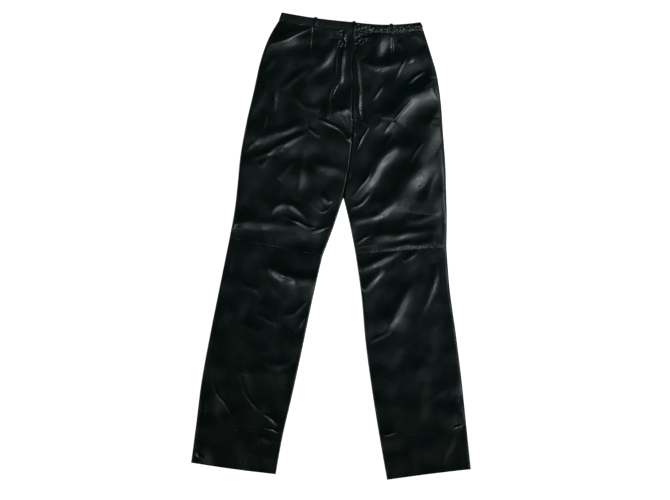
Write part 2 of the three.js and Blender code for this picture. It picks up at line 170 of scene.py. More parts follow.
# The finer creases, read from the photograph: the path in its pixels, half the lit flank's width in
# millimetres, how strongly it is lit, and the other flank's reach as a share of that half width
CREASES = (
    ("under the waist left", ((282, 38), (305, 31), (320, 27), (343, 27)), 5, 0.5, 1.2),
    ("hip streak left", ((270, 46), (288, 40), (300, 34), (308, 30)), 2.5, 0.5, 1),
    ("hip low left", ((261, 72), (270, 67), (278, 58)), 6.5, 0.3, 1.2),
    ("seat second left", ((312, 69), (296, 80), (283, 92)), 6.5, 0.4, 1.4),
    ("side light left", ((267, 87), (262, 100), (258, 113)), 7.5, 0.3, 1.2),
    ("side light two left", ((277, 91), (276, 101), (274, 111)), 5, 0.35, 1.2),
    ("thin line seat left", ((335, 84), (331, 95), (330, 106), (329, 118)), 3, 1.5, 1.2),
    ("thin line two seat left", ((338, 84), (335, 91), (333, 98)), 2, 0.7, 1),
    ("shield", ((334, 110), (342, 114), (350, 109)), 8.5, 0.5, 0.9),
    ("under the shield", ((342, 117), (346, 124), (350, 132)), 4, 0.7, 1.2),
    ("line by the seam left top", ((345, 33), (345, 40), (345, 47)), 3, 2, 1),
    ("line by the seam left", ((345, 47), (344, 58), (343, 70), (341, 84)), 4.5, 2, 1.2),
    ("faint by the seam left", ((338, 54), (337, 65), (336, 77)), 3, 0.35, 1),
    ("faint seat left", ((295, 97), (305, 108), (319, 112)), 6.5, 0.3, 1.2),
    ("seam line right top", ((354, 32), (353, 38), (353, 43), (355, 49)), 3, 3, 0.9),
    ("seam line right", ((355, 49), (357, 60), (359, 74), (360, 88), (360, 101), (360, 113), (362, 123)), 4, 3, 1.1),
    ("glint under the loop right", ((386, 33), (389, 36), (392, 39)), 2, 0.9, 0.9),
    ("under the band right", ((396, 33), (408, 33), (420, 32)), 2, 0.9, 0.9),
    ("hip corner right", ((411, 35), (419, 40), (427, 48)), 6.5, 0.45, 1.2),
    ("hip slant right", ((397, 42), (404, 51), (410, 63)), 6, 0.5, 1.2),
    ("hip thin slant right", ((408, 57), (402, 67), (396, 78)), 2, 0.8, 1),
    ("hip side right", ((421, 49), (428, 62), (431, 79)), 7.5, 0.6, 1.2),
    ("hip stroke right", ((408, 85), (415, 79), (425, 73)), 3.5, 0.9, 1.2),
    ("hip stroke two right", ((423, 88), (428, 85), (435, 81)), 3.5, 0.3, 1.2),
    ("sheet edge right", ((385, 134), (391, 125), (401, 114), (413, 101)), 3, 1, 1.2),
    ("seat faint right", ((384, 85), (379, 93), (374, 101)), 3, 0.35, 1.2),
    ("seat low faint right", ((371, 118), (377, 116), (384, 113)), 4, 0.2, 1.2),
    ("side of the thigh right", ((428, 128), (434, 121), (439, 112)), 6.5, 0.4, 1.2),
    ("upright thigh left", ((268, 112), (266, 122), (264, 131)), 4, 0.45, 1.2),
    ("outer thigh left", ((246, 153), (252, 147), (259, 142)), 4, 0.45, 1.2),
    ("tail of the bands left", ((308, 128), (313, 133), (318, 139)), 3.5, 0.6, 1.2),
    ("thigh spot left", ((261, 168), (265, 163), (271, 158)), 5.5, 0.35, 1.2),
    ("thigh spot two left", ((281, 181), (288, 170), (297, 162)), 6.5, 0.4, 1.2),
    ("inner thigh low left", ((321, 195), (325, 201), (330, 204)), 5, 0.45, 1.2),
    ("inner thigh arch left", ((309, 199), (316, 209), (324, 213), (331, 206)), 3, 0.4, 1.2),
    ("knee arch inner left", ((283, 216), (295, 222), (306, 227), (318, 230)), 3, 0.6, 1.2),
    ("knee end left", ((311, 233), (320, 231), (330, 227)), 3, 0.6, 1.2),
    ("crotch line left", ((318, 121), (328, 124), (338, 130), (350, 141)), 3, 0.75, 1.3),
    ("crotch hook left", ((348, 141), (352, 138), (356, 133)), 3, 1.1, 1.2),
    ("crotch stroke right", ((368, 128), (363, 139), (357, 150)), 2, 1, 1.1),
    ("crotch end right", ((361, 121), (364, 125), (367, 130)), 3, 0.5, 1.2),
    ("nick left", ((311, 120), (315, 128), (321, 139)), 2, 0.8, 1.2),
    ("crotch fold right", ((374, 129), (379, 126), (384, 122)), 3, 0.4, 1.2),
    ("thigh top right", ((384, 149), (389, 142), (396, 136)), 5.5, 0.5, 1.2),
    ("inner line right", ((373, 163), (368, 178), (360, 189), (351, 198)), 2.5, 0.8, 1.1),
    ("inner curve right", ((351, 209), (359, 207), (366, 201), (371, 194)), 3.5, 0.9, 1.2),
    ("streak in the large band", ((404, 177), (412, 160), (424, 141)), 3.5, 0.7, 1),
    ("thigh side low right", ((437, 172), (432, 188), (428, 202)), 5.5, 0.35, 1.2),
    ("knee nick right a", ((357, 244), (363, 240), (371, 235)), 2.5, 0.9, 1.1),
    ("knee nick right b", ((359, 248), (366, 246), (374, 245)), 2, 0.5, 1.1),
    ("below knee inner right", ((365, 292), (374, 281), (385, 270)), 7, 0.9, 1.2),
    ("below knee stroke right", ((404, 263), (411, 258), (418, 251)), 5, 0.65, 1.2),
    ("shin step right", ((371, 343), (381, 338), (391, 333)), 4, 0.65, 1.2),
    ("shin soft right", ((419, 344), (420, 365), (413, 400)), 7, 0.2, 1.2),
    ("ankle soft right", ((429, 406), (440, 396), (451, 388)), 5.5, 0.2, 1.2),
    ("ankle side right", ((455, 396), (457, 404), (459, 412)), 3, 0.5, 1.2),
    ("hem side right", ((455, 436), (450, 450), (442, 466)), 6, 0.2, 1.2),
    ("ankle crease right", ((383, 436), (410, 434), (436, 432), (461, 429)), 1.5, 0.2, 1),
    ("ankle crease right end", ((384, 436), (389, 435), (396, 433)), 2, 1, 1),
    ("ankle crease right far", ((454, 429), (458, 428), (462, 427)), 2, 0.9, 1),
    ("calf faint left", ((242, 287), (250, 289), (258, 292)), 6, 0.35, 1.2),
    ("calf hook left", ((283, 317), (293, 316), (301, 309), (307, 303)), 4.5, 0.65, 1.2),
    ("calf line left", ((254, 314), (266, 320), (281, 327)), 4, 0.3, 1.2),
    ("calf edge left", ((296, 333), (302, 325), (306, 317)), 4, 0.7, 1.2),
    ("shin soft left", ((238, 326), (250, 330), (264, 334)), 8, 0.2, 1.2),
    ("ankle line left a", ((212, 382), (217, 395), (225, 406), (233, 416)), 3, 0.3, 1.2),
    ("ankle line left b", ((238, 376), (247, 397), (256, 408), (263, 413)), 3, 0.25, 1.2),
    ("ankle spot left", ((264, 416), (271, 420), (278, 426)), 3.5, 0.5, 1.2),
    ("ankle crease left", ((198, 428), (230, 429), (258, 431), (280, 433)), 1.5, 0.2, 1),
    ("ankle crease left end", ((264, 429), (272, 430), (280, 433)), 2, 1.1, 1),
    ("hem spot left", ((195, 451), (198, 456), (203, 459)), 3, 0.8, 1.2),
    ("broad thigh right", ((440, 118), (437, 165), (433, 215)), 25, 0.42, 1.8),
    ("broad shin left", ((262, 266), (285, 284), (312, 296)), 20, 0.35, 1.5),
    ("broad shin right", ((418, 290), (403, 312), (380, 335)), 16, 0.32, 1.4),
    ("hem soft left", ((254, 449), (262, 440), (272, 444)), 6.5, 0.3, 1.2),
)
PHOTO_SCALE = 2.3  # millimetres for each of its pixels
PHOTO_ORIGIN = (330.5, 245.75)  # the drawing's origin in it
LIT_FROM = table("x y weight", (0.98, -0.17, 1), (0.8, -0.6, 1), (0.4, -0.92, 0.95), (-0.6, -0.8, 0.85))
LIT_SLOPE = 0.364  # of a flank that is lit at strength 1 and crosses the light squarely
MOST_SLOPE = 0.55
HIP_FROM, THIGH_FROM, LEG_FROM = 294, 33, -10  # the hip above y, the left thigh left of x, the legs below y
RAISED = {"hip": 1.7, "left thigh": 1.6, "other": 1.15}  # how much the waves under a crease soften it there
NARROW, NARROW_RAISED = 4, 1.35  # a crease narrower than this is raised by this much more
CREASE_SEGMENTS = 14
DARTS = {  # sewn lines below the waist, each from its top to its point
    "left": (((-40, 502), (-45, 436)),),
    "right": (((141.5, 490), (141.5, 420)), ((146, 490), (146, 420))),
}
PUCKERED = {"left": (17, 34, 457, 497), "right": (58, 90, 459, 490)}  # crinkled places: x from, to, y from, to
SIDE_PRINT = 18  # the seam allowance shows through this far inside each lower leg's side
STITCHED = 2.4  # from the knee seam and the waist seam to the stitches beside them
FOLD_SEGMENTS = 12


# Shared shapes


def smooth_run(values, place):
    """Values through the rows of a table, read at any place between them, with the source's own spline."""
    values = np.asarray(values, float)
    last = len(values) - 1
    row = np.clip(np.floor(place).astype(int), 0, last - 1)
    t = np.clip(place - row, 0, 1)
    p0 = values[np.maximum(row - 1, 0)]
    p1 = values[row]
    p2 = values[row + 1]
    p3 = values[np.minimum(row + 2, last)]
    v0 = (p2 - p0) / 2
    v1 = (p3 - p1) / 2
    return (2 * p1 - 2 * p2 + v0 + v1) * t**3 + (3 * p2 - 3 * p1 - 2 * v0 - v1) * t**2 + v0 * t + p1


def path_points(points, segments):
    """Even points along a smooth path through a few."""
    points = np.array(points, float)
    place = np.linspace(0, len(points) - 1, segments + 1)
    return np.stack([smooth_run(points[:, k], place) for k in (0, 1)], 1)


def from_path(path, x, y):
    """For each point: its distance to a path, its share along it, and the side of the path that it lies on."""
    nearest = np.full(x.shape, 1e9)
    along = np.zeros(x.shape)
    side = np.ones(x.shape)
    for i in range(len(path) - 1):
        start, run = path[i], path[i + 1] - path[i]
        dx, dy = x - start[0], y - start[1]
        share = np.clip((dx * run[0] + dy * run[1]) / (run @ run), 0, 1)
        gap = np.hypot(dx - share * run[0], dy - share * run[1])
        closer = gap < nearest
        nearest = np.where(closer, gap, nearest)
        along = np.where(closer, (i + share) / (len(path) - 1), along)
        side = np.where(closer, np.sign(run[0] * dy - run[1] * dx), side)
    return nearest, along, side


def crest(path, x, y, facing, away):
    """The form of a fold from 0 to 1, from its path, the middle of the flank that faces the light."""
    nearest, along, side = from_path(path, x, y)
    chord = path[-1] - path[0]
    crossed = chord[1] * FACED[:, 0] - chord[0] * FACED[:, 1]
    turned = -np.sign(crossed[np.argmax(np.abs(crossed))])
    from_crest = nearest * side * turned + 0.8 * facing
    width = np.where(from_crest > 0, 1.25 * facing, away)
    return np.sin(np.pi * along) ** 0.6 * np.exp(-((from_crest / width) ** 2))


def bent(x, y):
    """Places moved a little and unevenly, so that no fold runs quite true."""
    along_x = 1.6 * waves(x, y, 60, 71) + 0.4 * waves(x, y, 25, 72)
    along_y = 1.6 * waves(x, y, 60, 73) + 0.4 * waves(x, y, 25, 74)
    return x + along_x, y + along_y


def fold_height(x, y):
    """Height that the largest folds add, as in the solids."""
    height = np.zeros(x.shape)
    x, y = bent(x, y)
    for x0, y0, x1, y1, x2, y2, facing, away, rise in zip(*FOLDS.values()):
        a, b, c = np.array((x0, y0)), np.array((x1, y1)), np.array((x2, y2))
        bend = 2 * b - (a + c) / 2
        t = np.linspace(0, 1, FOLD_SEGMENTS + 1)[:, None]
        path = (1 - t) ** 2 * a + 2 * t * (1 - t) * bend + t**2 * c
        height += rise * crest(path, x, y, facing, away)
    return height


def crease_rise(points, facing, strength):
    """Height of a crease whose flank has the slope that its strength needs, for how it crosses the light."""
    x, y = points[len(points) // 2]
    place = "hip" if y > HIP_FROM else "left thigh" if y > LEG_FROM and x < THIGH_FROM else "other"
    run = points[-1] - points[0]
    seen = (LIT_FROM["weight"] * np.abs(LIT_FROM["y"] * run[0] - LIT_FROM["x"] * run[1])).max() / np.hypot(*run)
    rise = LIT_SLOPE * facing * strength * RAISED[place] * (NARROW_RAISED if facing < NARROW else 1) / seen
    return min(rise, MOST_SLOPE * facing)


def crease_height(x, y):
    """Height that the finer creases add."""
    height = np.zeros(x.shape)
    x, y = bent(x, y)
    for _, pixels, facing, strength, other in CREASES:
        points = (np.array(pixels) - PHOTO_ORIGIN) * (PHOTO_SCALE, -PHOTO_SCALE)
        rise = crease_rise(points, facing, strength)
        away = other * facing
        path = path_points(points, CREASE_SEGMENTS)
        reach = 4 * max(facing, away)
        near = (x > path[:, 0].min() - reach) & (x < path[:, 0].max() + reach)
        near &= (y > path[:, 1].min() - reach) & (y < path[:, 1].max() + reach)
        if near.any():
            height[near] += rise * crest(path, x[near], y[near], facing, away)
    return height


def waves(x, y, length, seed, count=9):
    """A smooth uneven field from -1 to 1, as a sum of waves of about one length."""
    rng = np.random.default_rng(seed)
    total = np.zeros(x.shape)
    for _ in range(count):
        angle = rng.uniform(0, math.pi)
        number = 2 * math.pi / (length * rng.uniform(0.7, 1.4))
        total += np.sin((x * math.cos(angle) + y * math.sin(angle)) * number + rng.uniform(0, 2 * math.pi))
    return total / math.sqrt(count / 2) / 2


def lumps(x, y, size, seed):
    """Smooth uneven lumps of about one size, from -1 to 1."""
    values = np.random.default_rng(seed).uniform(-1, 1, (64, 64))
    turned = 0.6
    u = (x * math.cos(turned) - y * math.sin(turned)) / size + 1000
    v = (x * math.sin(turned) + y * math.cos(turned)) / size + 1000
    i, j = np.floor(u).astype(int), np.floor(v).astype(int)
    s, t = u - i, v - j
    s, t = s * s * (3 - 2 * s), t * t * (3 - 2 * t)
    low = values[i % 64, j % 64] * (1 - s) + values[(i + 1) % 64, j % 64] * s
    high = values[i % 64, (j + 1) % 64] * (1 - s) + values[(i + 1) % 64, (j + 1) % 64] * s
    return low * (1 - t) + high * t


def crinkles(x, y, size, seed):
    """Rounded lumps parted by narrow creases, from -1 to 1."""
    bent_x = x + 0.5 * size * lumps(x, y, size * 1.7, seed + 7)
    bent_y = y + 0.5 * size * lumps(x, y, size * 1.7, seed + 8)
    return 1.2 * np.sqrt(np.abs(lumps(bent_x, bent_y, size, seed)) + 0.02) - 0.8


def even_steps(length, step):
    """Places from 0 to length about one step apart, closer together at both ends for the rounded lips."""
    first = LIP_STEPS[-1]
    count = max(2, round((length - 2 * first) / step))
    middle = np.linspace(first, length - first, count + 1)[1:-1]
    ends = np.array(LIP_STEPS, float)
    return np.concatenate([ends, middle, length - ends[::-1]])


def half_rows(side):
    """The sections of one half from the waist seam to the hem."""
    name = "left" if side < 0 else "right"
    leg = LEFT_LEG if side < 0 else RIGHT_LEG
    rows = {}
    for key in ("x", "y", "width", "tilt", "bow", "loft", "dip"):
        of_body = BODY[key] if key in BODY else BODY[f"{name}_{key}"]
        if key == "x":
            of_body = of_body + side * SEAM_GAP / 2
        if key == "width":
            of_body = of_body - SEAM_GAP / 2
        rows[key] = np.concatenate([of_body, leg[key]])
    return rows


def edges_of(side, part):
    """Functions for the inner and outer edge of a panel, and for the sizes that run down it."""
    rows = half_rows(side)
    corner = len(BODY["x"]) - 1
    knee = corner + 1 + KNEE
    chosen = slice(0, knee + 1) if part == "upper" else slice(knee, None)
    rows = {key: column[chosen] for key, column in rows.items()}
    last = len(rows["x"]) - 1
    angle = np.radians(rows["tilt"])
    outer_x = rows["x"] + side * rows["width"] * np.cos(angle)
    outer_y = rows["y"] + rows["width"] * np.sin(angle)

    def inner(place):
        if part == "lower":
            return [smooth_run(rows[key], place) for key in "xy"]
        upper = [smooth_run(rows[key][: corner + 1], np.minimum(place, corner)) for key in "xy"]
        lower = [smooth_run(rows[key][corner:], np.maximum(place - corner, 0)) for key in "xy"]
        return [np.where(place < corner, a, b) for a, b in zip(upper, lower)]

    def outer(place):
        return [smooth_run(outer_x, place), smooth_run(outer_y, place)]

    sizes = {key: (lambda place, column=rows[key]: smooth_run(column, place)) for key in ("bow", "loft", "dip")}
    return inner, outer, sizes, last


def plan(side, part, step):
    """A grid of points over one panel, with each point's distance to the panel's four edges."""
    inner, outer, sizes, last = edges_of(side, part)
    dense = np.linspace(0, last, 60 * last + 1)
    middle = (np.array(inner(dense)) + np.array(outer(dense))) / 2
    length = np.concatenate([[0], np.cumsum(np.hypot(*np.diff(middle, axis=1)))])
    down = even_steps(length[-1], step)
    place = np.interp(down, length, dense)
    xi, yi = inner(place)
    xo, yo = outer(place)
    width = np.hypot(xo - xi, yo - yi)
    even = even_steps(width.mean(), step)
    middle_share = (even[len(LIP_STEPS) : -len(LIP_STEPS)] - LIP) / (width.mean() - 2 * LIP)
    across = np.concatenate(
        [
            np.broadcast_to(np.array(LIP_STEPS), (len(down), len(LIP_STEPS))),
            LIP + middle_share[None, :] * (width - 2 * LIP)[:, None],
            width[:, None] - np.array(LIP_STEPS)[::-1],
        ],
        axis=1,
    )
    share = across / width[:, None]
    x = xi[:, None] + share * (xo - xi)[:, None]
    y = yi[:, None] + share * (yo - yi)[:, None] + sizes["bow"](place)[:, None] * np.sin(np.pi * share)
    if part == "lower":
        y -= SEAM_GAP * np.exp(-down[:, None] / 6)
    for v in (x, y):
        for i, j, step in ((0, 1, LIP_STEPS[1]), (-1, -2, LIP_STEPS[1])):
            v[:, i] += (v[:, i] - v[:, j]) * JOIN / step
            v[i] += (v[i] - v[j]) * JOIN / step
    grid = {
        "x": x,
        "y": y,
        "inner": across,
        "side": width[:, None] - across,
        "top": np.broadcast_to(down[:, None], x.shape),
        "bottom": np.broadcast_to(down[-1] - down[:, None], x.shape),
        "loft": np.broadcast_to(sizes["loft"](place)[:, None], x.shape),
        "dip": np.broadcast_to(sizes["dip"](place)[:, None], x.shape),
        "width": np.broadcast_to(width[:, None], x.shape),
    }
    return grid


def lip(grid):
    """How far the leather turns down at the nearest edge of a panel."""
    edge = np.minimum(np.minimum(grid["inner"], grid["side"]), np.minimum(grid["top"], grid["bottom"]))
    inside = np.clip(1 - edge / LIP, 0, 1)
    return LIP * (1 - np.sqrt(1 - inside**2)) * 0.95


def rounded(distance, radius):
    """From 0 at an edge to 1 at a radius from it, as a quarter of a circle."""
    share = np.clip(distance / radius, 0, 1)
    return np.sqrt(share * (2 - share))


def air(grid):
    """Height of the hollow under a back panel: its loft, with the large folds, closed towards the seams."""
    roll = rounded(grid["side"], SIDE_ROLL)
    dip = 1 - grid["dip"] * (1 - rounded(grid["inner"], SEAM_ROLL))
    loft = grid["loft"] * (1 - LOFT_FALL * grid["inner"] / grid["width"])
    return roll * dip * np.maximum(0, loft + fold_height(grid["x"], grid["y"]))


def pucker(away, along, seed, length, height):
    """Small ripples that run into a seam and die out away from it."""
    phase = waves(along, along * 0, 60, seed) * 3
    uneven = 0.6 + 0.4 * waves(along, along * 0, 45, seed + 1)
    return height * uneven * np.exp(-away / 6) * np.sin(2 * math.pi * along / length + phase)


def step_down(distance, soft):
    """One before a line and nothing beyond it, with a soft change."""
    return 1 / (1 + np.exp(np.clip(distance / soft, -40, 40)))


def dart_depth(x, y, side):
    """Depth of the sewn lines of the darts, with the leather swelling a little beside them."""
    depth = np.zeros(x.shape)
    for dart in DARTS["left" if side < 0 else "right"]:
        nearest, along, _ = from_path(np.array(dart, float), x, y)
        taper = np.minimum(1, 5 * (1 - along))
        depth += taper * (0.8 * np.exp(-((nearest / 1.0) ** 2)) - 0.15 * np.exp(-(((nearest - 3) / 1.5) ** 2)))
    return depth


def puckered(x, y, side):
    """Crinkled leather beside the centre seam, just below the waist."""
    x0, x1, y0, y1 = PUCKERED["left" if side < 0 else "right"]
    place = step_down(x0 - x, 1.5) * step_down(x - x1, 1.5) * step_down(y0 - y, 1) * step_down(y - y1, 1)
    return place * (1.0 * crinkles(x, y, 5, 61) + 0.8 * lumps(x, y, 3.6, 62))


def back_height(grid, part, side):
    """Height of the outside of a back panel over the ground."""
    x, y = grid["x"], grid["y"]
    closed = (1 - np.exp(-grid["side"] / 5)) * (1 - 0.5 * np.exp(-grid["inner"] / 3))
    ends = (1 - np.exp(-grid["bottom"] / 4)) * (1 - 0.5 * np.exp(-grid["top"] / 4))
    rise = air(grid) + closed * ends * crease_height(x, y)
    soft = (2.0 if part == "upper" else 1.1) * waves(x, y, 82, 3) + 0.25 * waves(x, y, 38, 4)
    rise = rise + closed * (soft + 0.03 * waves(x, y, 10, 5))
    if part == "upper":
        rise = rise + pucker(grid["bottom"], grid["inner"], 11, 7.5, 0.3 if side < 0 else 0.6)
        rise = rise + pucker(grid["top"], grid["inner"], 12, 8.5, 0.22)
        rise = rise + puckered(x, y, side) - dart_depth(x, y, side)
    else:
        rise = rise + pucker(grid["top"], grid["inner"], 13, 7.5, 0.25 if side < 0 else 0.4)
        rise = rise - 0.25 * np.exp(-(((grid["top"] - STITCHED) / 0.7) ** 2))
        print_height = 0.35 + 0.2 * waves(x, y, 60, 17)
        rise = rise + closed * print_height * step_down(grid["side"] - SIDE_PRINT, 0.9)
    return BACK_REST + LEATHER + np.maximum(rise, -0.4) - lip(grid)


# Mesh making


def quads(rows, columns, start=0, turn=False):
    """Faces of a grid of points, from the number of its first point."""
    r, c = np.meshgrid(np.arange(rows - 1), np.arange(columns - 1), indexing="ij")
    a = start + r * columns + c
    faces = np.stack([a, a + columns, a + columns + 1, a + 1], -1).reshape(-1, 4)
    return faces[:, ::-1] if turn else faces


def border(index):
    """The numbers of a grid's outermost points, once round."""
    return np.concatenate([index[0, :-1], index[:-1, -1], index[-1, :0:-1], index[:0:-1, 0]])


def thinned(count, every):
    """Places in a row of points, both ends among them, about one for each few."""
    return np.unique(np.round(np.linspace(0, count - 1, (count - 1) // every + 2)).astype(int))


def rim(index, chosen, coarse_index, turn):
    """Faces between the border of a fine grid and that of its thinned copy."""
    fine = border(index)
    coarse = border(coarse_index)
    place = {point: k for k, point in enumerate(fine)}
    steps = [place[point] for point in border(chosen)] + [len(fine)]
    faces = []
    for k in range(len(coarse)):
        run = [fine[i % len(fine)] for i in range(steps[k], steps[k + 1] + 1)]
        face = run + [coarse[(k + 1) % len(coarse)], coarse[k]]
        faces.append(face[::-1] if turn else face)
    return faces


def to_world(points):
    return (np.asarray(points, float) - (*MIDDLE, 0)) * MM


def make_mesh(name, points, *face_lists):
    """A mesh object from points in the drawing, in millimetres, and lists of faces."""
    sizes = np.concatenate([[len(face) for face in faces] for faces in face_lists]).astype(np.int32)
    corners = np.concatenate([np.asarray(face, np.int32) for faces in face_lists for face in faces])
    mesh = bpy.data.meshes.new(name)
    mesh.vertices.add(len(points))
    mesh.vertices.foreach_set("co", to_world(points).astype(np.float32).ravel())
    mesh.loops.add(len(corners))
    mesh.loops.foreach_set("vertex_index", corners)
    mesh.polygons.add(len(sizes))
    mesh.polygons.foreach_set("loop_start", np.concatenate([[0], np.cumsum(sizes)[:-1]]).astype(np.int32))
    mesh.polygons.foreach_set("use_smooth", np.full(len(sizes), True))
    mesh.update(calc_edges=True)
    mesh.validate()
    made = bpy.data.objects.new(name, mesh)
    bpy.context.scene.collection.objects.link(made)
    return made


def shell(name, outside, inside, turn, every=INSIDE_EVERY):
    """A closed sheet from the points of its outside and of its inside, which is thinned."""
    rows, columns = outside.shape[:2]
    kept = np.ix_(thinned(rows, every), thinned(columns, every))
    inside = inside[kept]
    index = np.arange(rows * columns).reshape(rows, columns)
    coarse_index = rows * columns + np.arange(inside[..., 0].size).reshape(inside.shape[:2])
    return make_mesh(
        name,
        np.concatenate([outside.reshape(-1, 3), inside.reshape(-1, 3)]),
        quads(rows, columns, 0, turn),
        quads(*inside.shape[:2], rows * columns, not turn),
        rim(index, index[kept], coarse_index, turn),
    )


def tubes(name, all_rings):
    """One mesh of closed tubes, each from its rings of points, with flat ends."""
    points, four_sided, ends = [], [], []
    count = 0
    for rings in all_rings:
        stations, around = rings.shape[:2]
        s, a = np.meshgrid(np.arange(stations - 1), np.arange(around), indexing="ij")
        first = count + s * around + a
        after = count + s * around + (a + 1) % around
        four_sided.append(np.stack([first, after, after + around, first + around], -1).reshape(-1, 4))
        ends.append(list(range(count + around - 1, count - 1, -1)))
        ends.append(list(range(count + (stations - 1) * around, count + stations * around)))
        points.append(rings.reshape(-1, 3))
        count += stations * around
    return make_mesh(name, np.concatenate(points), np.concatenate(four_sided), ends)


def finish_piece(made, material):
    """Gives a piece its material, and lets it ride on the one body."""
    made.data.materials.append(material)
    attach(made, "root")
    return made


def cut_of(points):
    """The size that a sheet was cut to, from the points of its outside: width, length and area, in metres."""
    p = points * MM
    a, b = p[1:, 1:] - p[:-1, :-1], p[1:, :-1] - p[:-1, 1:]
    area = float(np.linalg.norm(np.cross(a, b), axis=-1).sum() / 2)
    width, length = (np.linalg.norm(np.diff(p, axis=k), axis=-1).sum(k).max() for k in (1, 0))
    return width, length, min(area, 0.999 * width * length)


# Materials


def principled(name, **values):
    material = bpy.data.materials.new(name)
    material.use_nodes = True
    shader = material.node_tree.nodes["Principled BSDF"]
    for key, value in values.items():
        shader.inputs[key.replace("_", " ")].default_value = value
    return material, shader


def add(material, kind, **settings):
    node = material.node_tree.nodes.new(kind)
    for key, value in settings.items():
        if key in node.inputs:
            node.inputs[key].default_value = value
        else:
            setattr(node, key, value)
    return node


def leather(name, crinkle=0.0):
    """Glossy black nappa: a fine pebbled grain, small wrinkles, and worn and dull places."""
    material, shader = principled(
        name,
        Base_Color=(0.0015, 0.0065, 0.006, 1),
        Roughness=0.35,
        IOR=1.5,
        Coat_Weight=0.2,
        Coat_Roughness=0.18,
    )
    links = material.node_tree.links
    place = add(material, "ShaderNodeTexCoord")

    patches = add(material, "ShaderNodeTexNoise", Scale=9.0, Detail=4.0)
    links.new(place.outputs["Object"], patches.inputs["Vector"])
    tint = add(material, "ShaderNodeMix", data_type="RGBA")
    tint.inputs["A"].default_value = (0.0006, 0.0055, 0.0038, 1)
    tint.inputs["B"].default_value = (0.0012, 0.0105, 0.008, 1)
    links.new(patches.outputs["Fac"], tint.inputs["Factor"])
    links.new(tint.outputs["Result"], shader.inputs["Base Color"])

    dull = add(material, "ShaderNodeTexNoise", Scale=26.0, Detail=6.0, Distortion=0.5)
    links.new(place.outputs["Object"], dull.inputs["Vector"])
    rough = add(material, "ShaderNodeMapRange")
    rough.inputs["From Min"].default_value = 0.3
    rough.inputs["From Max"].default_value = 0.7
    rough.inputs["To Min"].default_value = 0.26
    rough.inputs["To Max"].default_value = 0.39
    links.new(dull.outputs["Fac"], rough.inputs["Value"])
    links.new(rough.outputs["Result"], shader.inputs["Roughness"])

    grain = add(material, "ShaderNodeTexVoronoi", Scale=900.0, feature="F1")
    links.new(place.outputs["Object"], grain.inputs["Vector"])
    wrinkle = add(material, "ShaderNodeTexNoise", Scale=170.0, Detail=3.0, Distortion=0.6)
    links.new(place.outputs["Object"], wrinkle.inputs["Vector"])
    fine = add(material, "ShaderNodeBump", Strength=0.2, Distance=0.0004)
    links.new(grain.outputs["Distance"], fine.inputs["Height"])
    coarse = add(material, "ShaderNodeBump", Strength=0.22 + crinkle, Distance=0.0009)
    links.new(wrinkle.outputs["Fac"], coarse.inputs["Height"])
    links.new(fine.outputs["Normal"], coarse.inputs["Normal"])
    links.new(coarse.outputs["Normal"], shader.inputs["Normal"])
    return material


def thread_material():
    """Black sewing thread, with its twist as fine bands."""
    material, shader = principled("thread", Base_Color=(0.012, 0.014, 0.014, 1), Roughness=0.5)
    links = material.node_tree.links
    place = add(material, "ShaderNodeTexCoord")
    twist = add(material, "ShaderNodeTexWave", Scale=1500.0, Distortion=1.0)
    links.new(place.outputs["Object"], twist.inputs["Vector"])
    bump = add(material, "ShaderNodeBump", Strength=0.4, Distance=0.0002)
    links.new(twist.outputs["Fac"], bump.inputs["Height"])
    links.new(bump.outputs["Normal"], shader.inputs["Normal"])
    return material


def tape_material():
    """Black woven tape, with its threads as fine ribs."""
    material, shader = principled("zip tape", Base_Color=(0.012, 0.012, 0.013, 1), Roughness=0.8)
    links = material.node_tree.links
    place = add(material, "ShaderNodeTexCoord")
    weave = add(material, "ShaderNodeTexWave", Scale=700.0, Distortion=0.5)
    links.new(place.outputs["Object"], weave.inputs["Vector"])
    bump = add(material, "ShaderNodeBump", Strength=0.5, Distance=0.0002)
    links.new(weave.outputs["Fac"], bump.inputs["Height"])
    links.new(bump.outputs["Normal"], shader.inputs["Normal"])
    return material


def metal_material():
    """Dark metal, a little scratched."""
    material, shader = principled("dark metal", Base_Color=(0.1, 0.1, 0.1, 1), Metallic=1.0, Roughness=0.35)
    links = material.node_tree.links
    place = add(material, "ShaderNodeTexCoord")
    worn = add(material, "ShaderNodeTexNoise", Scale=900.0, Detail=3.0)
    links.new(place.outputs["Object"], worn.inputs["Vector"])
    rough = add(material, "ShaderNodeMapRange")
    rough.inputs["To Min"].default_value = 0.25
    rough.inputs["To Max"].default_value = 0.5
    links.new(worn.outputs["Fac"], rough.inputs["Value"])
    links.new(rough.outputs["Result"], shader.inputs["Roughness"])
    return material


def floor_material():
    """A plain pale surface, a little uneven."""
    material, shader = principled("floor", Roughness=0.9, Emission_Color=(1, 1, 1, 1), Emission_Strength=1.0)
    links = material.node_tree.links
    place = add(material, "ShaderNodeTexCoord")
    uneven = add(material, "ShaderNodeTexNoise", Scale=3.0, Detail=2.0)
    links.new(place.outputs["Object"], uneven.inputs["Vector"])
    mix = add(material, "ShaderNodeMix", data_type="RGBA")
    mix.inputs["A"].default_value = (0.92, 0.92, 0.92, 1)
    mix.inputs["B"].default_value = (0.95, 0.95, 0.95, 1)
    links.new(uneven.outputs["Fac"], mix.inputs["Factor"])
    links.new(mix.outputs["Result"], shader.inputs["Base Color"])
    return material


BAND_CRINKLE = {"left": 0.15, "right": 1.0}
BAND_CROWN = {"left": 0.2, "right": 1.3}  # how far the face bulges along its middle
NAPPA = leather("nappa")
CRINKLED = leather("crinkled nappa", 0.6)
THREAD = thread_material()
METAL = metal_material()


# Panels


def layer(grid, height):
    """The points of a grid at a height."""
    return np.stack(np.broadcast_arrays(grid["x"], grid["y"], height), -1)


